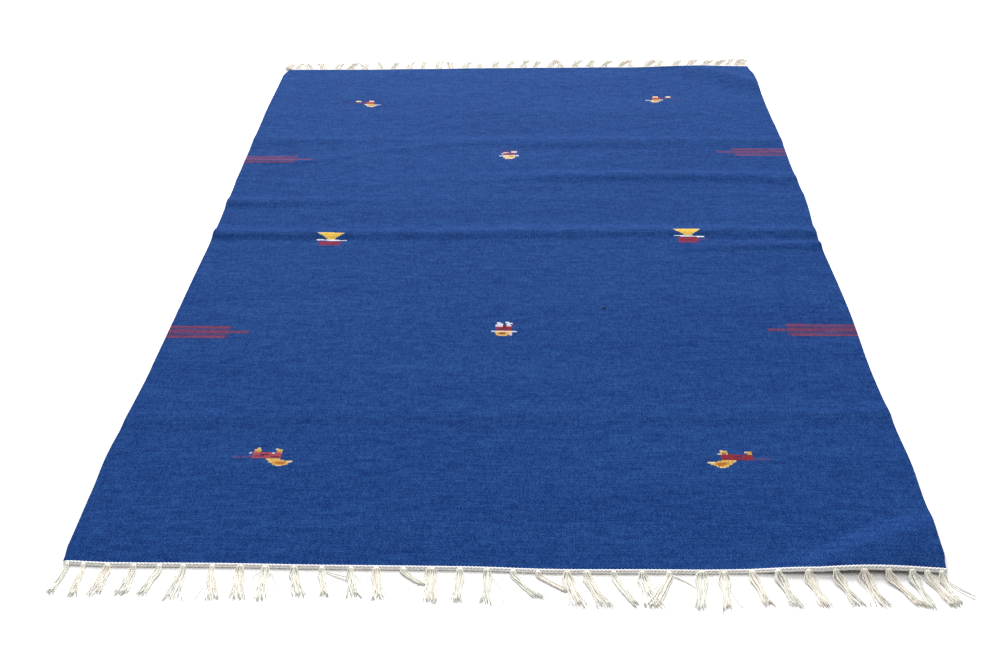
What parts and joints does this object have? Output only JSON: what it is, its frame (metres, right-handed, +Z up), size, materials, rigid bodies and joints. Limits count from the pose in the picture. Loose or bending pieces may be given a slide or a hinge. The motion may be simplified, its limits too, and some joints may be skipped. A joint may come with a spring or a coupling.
{
  "type": "kilim rug",
  "caption": "Flat-woven rectangular rug with soft folds, one raised corner, corded end bands and knotted tassel fringes at both ends.",
  "frame": {"origin": "on the floor under the middle of the rug", "axes": "+X across the rug to its right edge, +Y along it to the far fringe, +Z up"},
  "size_m": [1.4157, 2.1606, 0.0168],
  "materials": {
    "blue_wool": "matt hand-woven wool",
    "cream_cotton": "matt twisted cotton yarn"
  },
  "bodies": {
    "root": {"kilim_cloth": "blue_wool", "fringe_near": "cream_cotton", "fringe_far": "cream_cotton"}
  },
  "joints": []
}
